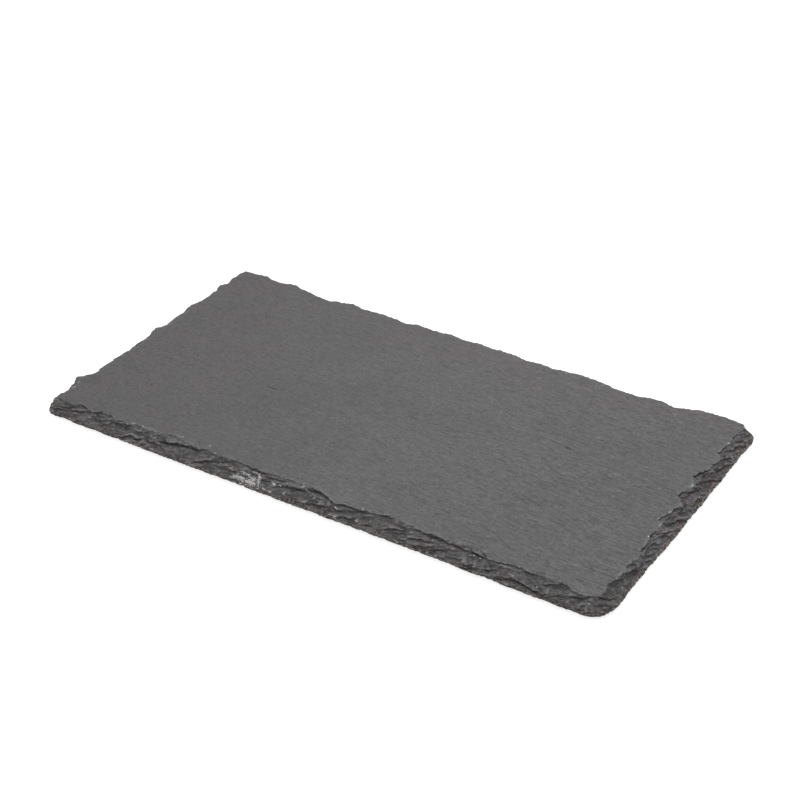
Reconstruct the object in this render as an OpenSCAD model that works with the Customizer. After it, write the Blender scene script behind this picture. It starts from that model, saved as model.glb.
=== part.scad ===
// Slate serving board: a riven slab with a chisel-dressed edge, standing on
// four round rubber feet that double-sided discs hold to its underside.
// X runs along the board, Y from its front edge to its back edge, and Z up.
// The origin is under the middle of the board, at the level the feet stand on.

/* [Slab] */
// Length of the slab, along X
slab_l = 325; // [200:1:500]
// Depth of the slab from front to back, along Y
slab_w = 176; // [120:1:320]
// Thickness of the slab
slab_t = 7; // [5:0.5:12]
// Radius of the two front corners, at the underside
front_corner_r = 12; // [8:0.5:24]
// Radius of the two back corners, at the underside
back_corner_r = 8.5; // [8:0.5:24]

/* [Dressed edge] */
// How far the top edge stands in from the underside, at the front
front_in = 7.8; // [5:0.1:9]
// How far the top edge stands in, at the right
right_in = 6.1; // [5:0.1:9]
// How far the top edge stands in, at the back
back_in = 6.4; // [5:0.1:9]
// How far the top edge stands in, at the left
left_in = 7.1; // [5:0.1:9]
// What the deepest chisel bite adds to that, or a crest between bites takes off
bite = 4; // [0.5:0.1:4.5]
// Length of one wave of the cleaved beds along the edge
bed_pitch = 27; // [12:1:60]
// How far a bed wanders in and out along the edge
bed_wander = 0.7; // [0:0.1:1]
// How far a bed wanders up and down along the edge
bed_roll = 0.2; // [0:0.05:0.3]

/* [Feet] */
// Diameter of a foot
foot_d = 12; // [6:0.5:20]
// Height of a foot
foot_h = 1.8; // [1:0.1:4]
// Rounding of a foot's lower rim
foot_round = 0.6; // [0.2:0.1:0.9]
// From the slab's side to the middle of a foot
foot_in = 25; // [14:1:45]
// Thickness of the double-sided disc above a foot
tape_t = 0.2; // [0.1:0.05:0.5]
// How far the disc stands back from the foot's rim
tape_back = 0.3; // [0.1:0.1:1]

/* [Hidden] */

// Height of the slab's underside
slab_z = foot_h + tape_t;
// How far the raw solid runs past both faces before they are cut flat
overrun = 1;

// Columns along a long side, along a short side and round a corner
long_columns = 92;
short_columns = 50;
corner_columns = 6;
quarter = 90;

// The top edge is a row of bites with crests between. Each pair is a place, as a
// share of the side from left to right or from front to back, and how far in the
// edge stands there, as a share of the bite. A crest is negative.
front_bite_shares = [
    [0, -1], [0.045, -0.9], [0.06, -0.5], [0.068, 0], [0.095, -0.9], [0.11, 0], [0.145, -0.5],
    [0.19, 0.05], [0.215, -0.1], [0.265, 0.6], [0.29, 0.2], [0.33, 0.35], [0.375, 0.3],
    [0.425, -0.1], [0.48, 0.6], [0.495, 0.6], [0.56, -0.95], [0.58, -0.3], [0.615, -0.2],
    [0.645, 0.55], [0.7, -0.15], [0.72, 0.2], [0.745, -0.1], [0.775, 0.6], [0.815, -0.7],
    [0.855, 0.15], [0.88, -0.4], [0.895, 0.3], [0.92, 0.1], [0.945, -0.9], [0.96, -0.7],
    [1, 0.3]];
right_bite_shares = [
    [0, 0.1], [0.08, 0.2], [0.135, -0.1], [0.175, -0.3], [0.215, -0.15], [0.25, -0.6],
    [0.295, -0.2], [0.34, 0.2], [0.39, 0], [0.43, 0.35], [0.47, 0.15], [0.515, -0.55],
    [0.545, 0.6], [0.605, 0.05], [0.66, 0.65], [0.685, 0.2], [0.73, -0.2], [0.75, -0.3],
    [0.81, 0], [0.865, 0.2], [0.93, 0], [1, -0.2]];
back_bite_shares = [
    [0, 0.1], [0.025, -0.2], [0.065, -0.5], [0.095, 0.1], [0.125, -0.65], [0.165, 0.1],
    [0.2, 0.6], [0.255, -0.35], [0.285, 0.15], [0.31, 0], [0.32, 0.2], [0.345, 0], [0.36, 0.3],
    [0.39, -0.35], [0.42, 0.1], [0.45, -0.2], [0.475, 0.1], [0.51, -0.25], [0.535, 0],
    [0.565, -0.2], [0.595, 0.35], [0.625, 0.1], [0.65, 0.35], [0.68, -0.2], [0.735, -0.2],
    [0.76, 0.4], [0.79, 0.7], [0.82, 0.1], [0.84, 0], [0.865, 0.4], [0.9, -0.65], [0.96, -0.8],
    [1, -0.3]];
left_bite_shares = [
    [0, 0.2], [0.055, -0.2], [0.095, -0.05], [0.16, -1], [0.19, -0.1], [0.225, 0.15],
    [0.265, 0.25], [0.3, 0], [0.34, 0.2], [0.385, 0.2], [0.44, 0.15], [0.51, -0.65],
    [0.54, 0.15], [0.565, 0.2], [0.625, -0.1], [0.65, 0], [0.685, -0.5], [0.745, 0.2],
    [0.805, 0], [0.845, -0.3], [0.865, 0], [0.95, -0.1], [1, 0.1]];

// The edge comes down in beds, each a steep riser over a shallow tread. Each row
// is one ring from the top down: its height as a share of the slab's thickness,
// how far in it stands as a share of the top edge's own, and how much it wanders.
bed_ring_shares = [
    [1, 1, 0], [0.86, 0.93, 0.3], [0.75, 0.68, 0.9], [0.57, 0.6, 1], [0.47, 0.36, 1],
    [0.3, 0.29, 0.9], [0.2, 0.1, 0.5], [0.07, 0, 0]];
// A bed's wave is two waves laid over each other, the second one quicker
wave_share = 0.6;
quick_wave_share = 1 - wave_share;
quick_waves = 2.7;
// How far the waves of one ring are turned from those of the next
ring_turn = 50;

// Interpolates a table of bites at a place, where share_at is from 0 to 1. The
// edge runs steeply off a crest and levels out in the bottom of the bite.
function bite_at(shares, share_at) =
    let (i = max([0, for (k = [0 : len(shares) - 2]) if (shares[k][0] <= share_at) k]),
         from = shares[i],
         to = shares[i + 1],
         t = (share_at - from[0]) / (to[0] - from[0]),
         eased = to[1] > from[1] ? sin(quarter * t) : 1 - cos(quarter * t))
    from[1] + (to[1] - from[1]) * eased;

// A column is a point of the underside's outline, the way its edge faces there,
// and how far in the top edge stands
function edge_in(side_in, shares, share_at) = side_in + bite * bite_at(shares, share_at);
function share_x(x) = x / slab_l + 1 / 2;
function share_y(y) = y / slab_w + 1 / 2;
function front_at(x) = edge_in(front_in, front_bite_shares, share_x(x));
function right_at(y) = edge_in(right_in, right_bite_shares, share_y(y));
function back_at(x) = edge_in(back_in, back_bite_shares, share_x(x));
function left_at(y) = edge_in(left_in, left_bite_shares, share_y(y));
function mix(a, b, t) = a + (b - a) * t;

// The columns of one side, from where one corner ends to where the next begins.
// Those of the front and back step along X, and the others along Y.
function long_side(y, from_x, to_x, facing) = [for (i = [0 : long_columns - 1])
    let (x = mix(from_x, to_x, i / long_columns))
    [[x, y], facing, y < 0 ? front_at(x) : back_at(x)]];
function short_side(x, from_y, to_y, facing) = [for (i = [0 : short_columns - 1])
    let (y = mix(from_y, to_y, i / short_columns))
    [[x, y], facing, x < 0 ? left_at(y) : right_at(y)]];

// A corner turns from one side's direction to the next. Its top edge runs from the
// inset where the one side ends to that where the other begins, and keeps at least
// a little of the corner's radius.
corner_keep_share = 0.1;
function corner(middle, r, facing, from_in, to_in) = [for (i = [0 : corner_columns - 1])
    let (t = i / corner_columns, a = facing + quarter * t)
    [middle + r * [cos(a), sin(a)], a,
     min(mix(from_in, to_in, t), (1 - corner_keep_share) * r)]];

// Where the corner arcs' middles lie, and the slab's columns, round from the left
// end of the front edge
front_x = slab_l / 2 - front_corner_r;
front_y = slab_w / 2 - front_corner_r;
back_x = slab_l / 2 - back_corner_r;
back_y = slab_w / 2 - back_corner_r;
columns = concat(
    long_side(-slab_w / 2, -front_x, front_x, -quarter),
    corner([front_x, -front_y], front_corner_r, -quarter, front_at(front_x), right_at(-front_y)),
    short_side(slab_l / 2, -front_y, back_y, 0),
    corner([back_x, back_y], back_corner_r, 0, right_at(back_y), back_at(back_x)),
    long_side(slab_w / 2, back_x, -back_x, quarter),
    corner([-back_x, back_y], back_corner_r, quarter, back_at(-back_x), left_at(back_y)),
    short_side(-slab_l / 2, back_y, -front_y, 2 * quarter),
    corner([-front_x, -front_y], front_corner_r, 2 * quarter, left_at(-front_y),
           front_at(-front_x)));
n = len(columns);

// Whole waves in one turn round the slab, so that the last column meets the first
bed_waves = round(2 * (slab_l + slab_w) / bed_pitch);
function wave(i, turn) =
    wave_share * sin(4 * quarter * bed_waves * i / n + turn)
    + quick_wave_share * sin(4 * quarter * round(quick_waves * bed_waves) * i / n - turn);

// A point of one column, so far in from the outline
function point_at(column, far_in, z) =
    let (p = column[0], a = column[1])
    [p[0] - far_in * cos(a), p[1] - far_in * sin(a), z];

// A point of one ring: i counts the columns, and k the rings from the top down
function bed_point(i, k) =
    let (ring = bed_ring_shares[k],
         far_in = ring[1] * columns[i][2] + ring[2] * bed_wander * wave(i, k * ring_turn),
         z = slab_t * ring[0] + ring[2] * bed_roll * wave(i, k * ring_turn + quarter))
    point_at(columns[i], far_in, z);

// The top riser is carried on past the serving face, in line with itself
function raised_point(i) =
    let (top = bed_point(i, 0), below = bed_point(i, 1))
    top + (top - below) * overrun / (top[2] - below[2]);

// The raw solid: a crown ring above, the rings of the edge, and a skirt ring below
// the underside. A low cone closes it at each end, and both cones are cut away.
crown_share = 0.9;
rings = concat(
    [[for (c = columns)
        [crown_share * c[0][0], crown_share * c[0][1], slab_t + 2 * overrun]]],
    [[for (i = [0 : n - 1]) raised_point(i)]],
    [for (k = [1 : len(bed_ring_shares) - 1]) [for (i = [0 : n - 1]) bed_point(i, k)]],
    [[for (c = columns) point_at(c, 0, -overrun)]]);
crown_tip = n * len(rings);
skirt_tip = crown_tip + 1;
skirt_start = n * (len(rings) - 1);
slab_points = concat(
    [for (ring = rings) each ring],
    [[0, 0, slab_t + 3 * overrun], [0, 0, -2 * overrun]]);
slab_faces = concat(
    [for (k = [0 : len(rings) - 2], i = [0 : n - 1])
        let (a = k * n + i, b = k * n + (i + 1) % n)
        each [[a, b, b + n], [a, b + n, a + n]]],
    [for (i = [0 : n - 1]) [crown_tip, (i + 1) % n, i]],
    [for (i = [0 : n - 1]) [skirt_tip, skirt_start + i, skirt_start + (i + 1) % n]]);

// The slab: the dressed edge, cut to the flat serving face and the flat underside
module slate_slab() {
    color([0.4, 0.4, 0.4])
    translate([0, 0, slab_z])
    intersection() {
        polyhedron(points = slab_points, faces = slab_faces, convexity = 4);
        translate([-slab_l / 2 - overrun, -slab_w / 2 - overrun, 0])
            cube([slab_l + 2 * overrun, slab_w + 2 * overrun, slab_t]);
    }
}

// Half the section of a foot: flat above and below, with its lower rim rounded
module foot_section() {
    square([foot_d / 2 - foot_round, foot_h]);
    translate([0, foot_round])
        square([foot_d / 2, foot_h - foot_round]);
    translate([foot_d / 2 - foot_round, foot_round])
        circle(r = foot_round, $fn = 48);
}

// Puts what stands under one corner in its place: -1 is left or front, 1 is right
// or back
module under_corner(side_x, side_y) {
    translate([side_x * (slab_l / 2 - foot_in), side_y * (slab_w / 2 - foot_in), 0])
        children();
}

module foot(side_x, side_y) {
    color([0.1, 0.1, 0.1])
    under_corner(side_x, side_y)
    rotate_extrude($fn = 96) foot_section();
}

module tape(side_x, side_y) {
    color([0.85, 0.83, 0.75])
    under_corner(side_x, side_y)
    translate([0, 0, foot_h])
        cylinder(h = tape_t, d = foot_d - 2 * tape_back, $fn = 96);
}

module foot_front_left() foot(-1, -1);
module foot_front_right() foot(1, -1);
module foot_back_left() foot(-1, 1);
module foot_back_right() foot(1, 1);
module tape_front_left() tape(-1, -1);
module tape_front_right() tape(1, -1);
module tape_back_left() tape(-1, 1);
module tape_back_right() tape(1, 1);

slate_slab();
foot_front_left();
foot_front_right();
foot_back_left();
foot_back_right();
tape_front_left();
tape_front_right();
tape_back_left();
tape_back_right();
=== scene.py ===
import math

import bmesh
import bpy
import numpy as np
from mathutils import Matrix, Vector


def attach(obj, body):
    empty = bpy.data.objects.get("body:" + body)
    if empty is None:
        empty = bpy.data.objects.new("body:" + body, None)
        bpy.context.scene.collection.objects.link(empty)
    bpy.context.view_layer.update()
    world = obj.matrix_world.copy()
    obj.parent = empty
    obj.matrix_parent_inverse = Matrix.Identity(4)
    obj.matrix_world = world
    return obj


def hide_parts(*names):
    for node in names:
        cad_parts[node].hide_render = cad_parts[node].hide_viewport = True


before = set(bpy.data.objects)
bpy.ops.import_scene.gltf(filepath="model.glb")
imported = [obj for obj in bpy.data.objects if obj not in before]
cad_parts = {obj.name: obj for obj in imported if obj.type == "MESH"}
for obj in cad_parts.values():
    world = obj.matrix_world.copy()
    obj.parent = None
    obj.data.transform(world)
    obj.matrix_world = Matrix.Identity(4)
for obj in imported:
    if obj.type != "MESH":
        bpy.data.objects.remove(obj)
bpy.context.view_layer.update()        # one body, root, with the slab, four feet and four tape discs
bpy.ops.object.select_all(action="DESELECT")  # the load leaves the CAD nodes selected
print("frame loaded")

mm = 0.001

# camera, standing where the photograph was taken from
cameraShot = {
    "azimuth": 31.99,    # degrees from straight in front, round to the right
    "elevation": 32.147,
    "roll": 0.143,
    "distance": 0.9254,
    "lookAt": (-0.0115, 0.02248, 0.0),
    "lens": 79.31,
}


def placeCamera(shot):
    bpy.ops.object.camera_add()
    camera = bpy.context.object
    camera.name = "photoCamera"
    camera.matrix_world = (
        Matrix.Translation(shot["lookAt"])
        @ Matrix.Rotation(math.radians(shot["azimuth"]), 4, "Z")
        @ Matrix.Rotation(math.radians(90 - shot["elevation"]), 4, "X")
        @ Matrix.Rotation(math.radians(shot["roll"]), 4, "Z")
        @ Matrix.Translation((0, 0, shot["distance"])))
    camera.data.lens = shot["lens"]
    camera.data.clip_start = 0.01
    bpy.context.scene.camera = camera


placeCamera(cameraShot)
print("camera placed")

# light: a wide soft box over the back, a weak one in front, and a white room
lightRig = {
    "roomLight": 0.43,    # what the room gives the board, where 1 is white
    "boxes": [
        # name, place, size, watts
        ("overheadBox", (0.0, 0.45, 1.15), 1.0, 7.9),
        ("frontBox", (-0.5, -1.0, 0.8), 0.7, 2.0),
    ],
    "floorColor": (0.8, 0.8, 0.8),
    "floorGlow": 0.76,     # only what the camera sees of the floor, so it reads as white paper
}


def feed(tree, socket, value):  # an output is linked, a number or colour goes on the socket
    if isinstance(value, bpy.types.NodeSocket):
        tree.links.new(value, socket)
    elif socket.type == "RGBA":
        socket.default_value = (*value, 1)
    else:
        socket.default_value = value


def addNode(tree, kind, inputs, **settings):  # gives the new node's outputs
    node = tree.nodes.new("ShaderNode" + kind)
    for name, value in settings.items():
        setattr(node, name, value)
    for key, value in inputs.items():
        feed(tree, node.inputs[key], value)
    return node.outputs


def buildLights(rig):
    for name, place, size, watts in rig["boxes"]:
        aim = (-Vector(place)).to_track_quat("-Z", "Y")
        bpy.ops.object.light_add(type="AREA", location=place, rotation=aim.to_euler())
        lamp = bpy.context.object
        lamp.name = name
        lamp.data.size = size
        lamp.data.energy = watts
    world = bpy.data.worlds.new("whiteRoom")
    bpy.context.scene.world = world
    world.use_nodes = True
    tree = world.node_tree
    sky = tree.nodes["Background"]
    level = addNode(tree, "MapRange",
                    {"Value": rayIsSeen(tree), "To Min": rig["roomLight"], "To Max": 1})
    feed(tree, sky.inputs["Color"], (1, 1, 1))
    feed(tree, sky.inputs["Strength"], level[0])


def rayIsSeen(tree):  # 1 for what the camera sees straight, in a gloss or through glass
    ray = addNode(tree, "LightPath", {})
    seen = ray["Is Camera Ray"]
    for other in ("Is Glossy Ray", "Is Transmission Ray"):
        seen = addNode(tree, "Math", {0: seen, 1: ray[other]}, operation="MAXIMUM")[0]
    return seen


def buildFloor(rig):
    bpy.ops.mesh.primitive_plane_add(size=8)
    floor = bpy.context.object
    floor.name = "paperFloor"
    paper = bpy.data.materials.new("whitePaper")
    paper.use_nodes = True
    tree = paper.node_tree
    tree.nodes.clear()
    glow = addNode(tree, "Math", {0: rayIsSeen(tree), 1: rig["floorGlow"]}, operation="MULTIPLY")
    glow = addNode(tree, "Emission", {"Color": (1, 1, 1), "Strength": glow[0]})
    matt = addNode(tree, "BsdfDiffuse", {"Color": rig["floorColor"]})
    both = addNode(tree, "AddShader", {0: matt[0], 1: glow[0]})
    addNode(tree, "OutputMaterial", {"Surface": both[0]})
    floor.data.materials.append(paper)


buildLights(lightRig)
buildFloor(lightRig)
bpy.context.scene.view_settings.view_transform = "Standard"
print("lights and floor in place")

# the slate slab
slab = {
    "length": 325, "width": 176, "top": 9, "bottom": 2,       # mm
    "frontLeft": 10.5, "frontRight": 12, "backCorner": 8.5,   # corner radii of the underside
    "faceGrid": (130, 134, 4, 2),   # cells along and across, and the cuts in those at the rim
    "undersideGrid": (65, 67, 9, 5),
    "rimRows": 8, "flankRows": 26,
    "gridIn": 14,          # where the grid of the serving face stops, in from the outline
    "lip": 0.35,           # height of the thin upright part along the underside
    "arrisRagged": 0.5,    # how far the top edge strays in small chips
    "cornerRagged": 0.3,   # the share of that on the corners
    "crown": 0.4,          # how proud the dressed edge stands before it is chipped
    "rough": [             # broken stone: size along, size up and depth in mm, seed
        (9, 4, 0.3, 11), (3, 1.5, 0.12, 12), (1.3, 0.9, 0.06, 17),
    ],
    "cliff": (0.9, 1.7),   # the steepest stretch under the top edge: how deep, how tall
    "wedgeCliff": (0.7, 1.3),   # and under the wedges
    "stray": (0.32, 0.35),  # how far a flake's foot wanders, in small steps and in wide ones
    "riser": 3.2,          # how steeply a flake stops at its foot
    "shadowLineHalf": 0.42,     # half the width of the painted shadow line there
    "chips": [             # how many, and the ranges of half length and depth in mm, and of lean
        (70, (6, 13), (0.45, 0.9), (0.08, 0.35)),
        (380, (2.5, 7), (0.2, 0.5), (0.1, 0.6)),
        (900, (0.8, 2.5), (0.1, 0.28), (0.15, 0.9)),
    ],
    "seed": 67,
    "outlineNicks": [      # in the underside's outline: size along, depth, level, seed
        (7, 0.5, 0, 33), (2.2, 0.5, 0.15, 34), (1.1, 0.5, 0.15, 35),
    ],
    "leftNicks": [(7, 0.7, -0.1, 36), (2.6, 0.45, 0, 37)],   # the same for the whole left flank
    "faceUnder": 0.09,     # how far the serving face lies under its highest level
    "riven": [             # its relief: size along, size across and height in mm, seed
        (70, 45, 0.05, 21), (28, 9, 0.035, 22), (14, 2.6, 0.022, 23), (5, 1.5, 0.012, 24),
    ],
    "rivenTurn": 0.06,     # radians
    "rimCrowding": 1.6,    # how much closer the rim rows lie towards the edge
    "rimStretch": 1.4,     # of the marks that run on over the face
    "smallPeels": 90,      # thin skins gone from the face, besides the planned ones
    "undersideRiven": 1.4,
    "footPlace": (137.5, 63),
    "footFlat": (7, 6),    # flat round the middle of a foot, and how far the relief takes to rise
}

# Cracks on the front flank, each with a painted shadow line along its foot, from left to right:
# mm along it and share of the height where each starts, the same where it ends, depth in mm,
# which also sets how dark that painted shadow is
frontCracks = [
    (-150, 0.78, -142, 1.0, 1.0), (-141, 1.0, -133, 0.8, 0.5), (-133, 0.85, -120, 1.0, 0.5),
    (-147, 0.25, -137, 0.7, 0.5), (-118, 0.73, -106, 0.68, 0.8), (-124, 0.35, -116, 0.5, 0.7),
    (-102, 0.34, -97, 0.42, 0.8), (-99, 0.93, -90, 1.0, 0.5), (-94, 0.42, -84, 0.44, 0.5),
    (-86, 0.6, -79, 0.74, 0.9), (-80, 0.72, -70, 0.92, 0.8), (-70, 0.95, -64, 0.88, 0.9),
    (-63, 0.26, -53, 0.66, 0.6), (-54, 0.65, -44, 0.92, 0.5), (-55, 0.47, -43, 0.53, 0.4),
    (-22, 0.88, -16, 0.93, 0.6), (1, 1.0, 10, 0.9, 0.8), (10, 0.9, 18, 0.74, 0.7),
    (18, 0.76, 26, 0.84, 0.6), (17, 0.52, 26, 0.48, 0.6), (26, 0.66, 37, 0.9, 0.9),
    (35, 0.28, 41, 0.38, 0.8), (49, 0.36, 58, 0.64, 0.8), (47, 0.84, 59, 0.86, 0.5),
    (60, 0.92, 80, 0.9, 1.0), (72, 0.28, 81, 0.62, 0.8), (81, 0.9, 92, 0.86, 0.6),
    (91, 0.95, 102, 0.78, 1.0), (118, 0.95, 125, 0.86, 0.5), (115, 0.38, 126, 0.27, 1.0),
    (125, 0.25, 130, 0.22, 0.8), (122, 0.65, 130, 0.4, 0.4), (136, 1.04, 142, 0.96, 0.7),
    (144, 0.5, 152, 0.72, 0.8), (151, 0.7, 158, 1.0, 1.0),
]
# and on the right flank, from front to back
rightCracks = [
    (-86, 1.0, -77, 0.7, 0.9), (-70, 0.92, -49, 0.38, 0.7), (-57, 0.56, -49, 0.28, 0.9),
    (-39, 0.68, -33, 0.72, 0.6), (-34, 0.76, -28, 0.58, 0.6), (-15, 0.88, -2, 0.28, 0.8),
    (-1, 0.74, 8, 0.66, 0.8), (14, 0.97, 25, 0.6, 0.9), (23, 0.48, 30, 0.42, 0.5),
    (29, 0.32, 35, 0.12, 0.7), (40, 0.96, 53, 0.68, 0.6), (40, 0.62, 52, 0.28, 0.9),
    (62, 0.64, 69, 0.55, 0.6), (69, 0.42, 75, 0.12, 0.8),
]

# Where the underside's outline stands back: side, middle along it, half length, depth, all in mm
outlineHollows = [
    ("front", 62, 60, 0.5), ("front", 75, 22, 0.3), ("front", -30, 40, 0.2), ("front", -146, 6, 0.5),
    ("right", -58, 14, 0.4), ("right", -41, 5, 0.5), ("right", 66, 12, 0.3),
    ("right", -79, 7, 0.6), ("right", -34, 9, 0.4),
]
# Where the top edge is bitten back, or left proud where the depth is below zero
edgeBites = [
    ("left", 84, 5, 0.7), ("left", 62, 4, -1.6), ("left", 47, 7, 1.2), ("left", 43, 3, 0.4),
    ("left", 31, 6, 0.5), ("left", 21, 11, 1.0), ("left", -9, 5, 0.6), ("left", -62, 4, -1.2),
    ("front", -153, 7, -1.2), ("left", 74, 3, 0.5), ("left", 53, 3, 0.5), ("left", 6, 3, 0.35),
    ("left", -30, 8, 0.3),
]
# Wedges bitten into the top edge of the right side: where the tip is, length and depth in mm
wedges = [
    (-71, 6, 0.8), (-55, 9, 1.0), (-40, 7, 1.1), (-28, 6, 0.7), (-14, 12, 1.9), (8, 11, 1.8),
    (27.5, 9, 2.0), (40, 8, 0.8), (52.5, 11, 1.8), (69, 6, 0.8),
]
# Stretches of the front where the top edge is worn soft: middle, half length
softEdges = [(-52, 16), (-108, 7), (92, 8)]
# Thin skins of slate gone from the serving face along its edge: side, middle along it,
# half length, how far in, depth
peels = [
    ("front", -5, 9, 2.6, 0.3), ("front", 42, 7, 1.6, 0.25), ("front", 48, 3, 3.0, 0.15),
    ("front", 104, 8, 1.6, 0.25), ("front", 128, 6, 1.5, 0.3), ("front", -58, 10, 1.4, 0.3),
    ("front", -101, 6, 1.3, 0.25), ("front", -34, 7, 1.2, 0.25), ("front", -130, 9, 1.6, 0.3),
    ("right", -46, 6, 1.2, 0.25), ("right", -12, 9, 2.0, 0.3),
    ("right", 45, 9, 1.5, 0.25), ("left", 70, 9, 3.0, 0.35), ("left", 33, 6, 1.5, 0.2),
]
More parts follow.
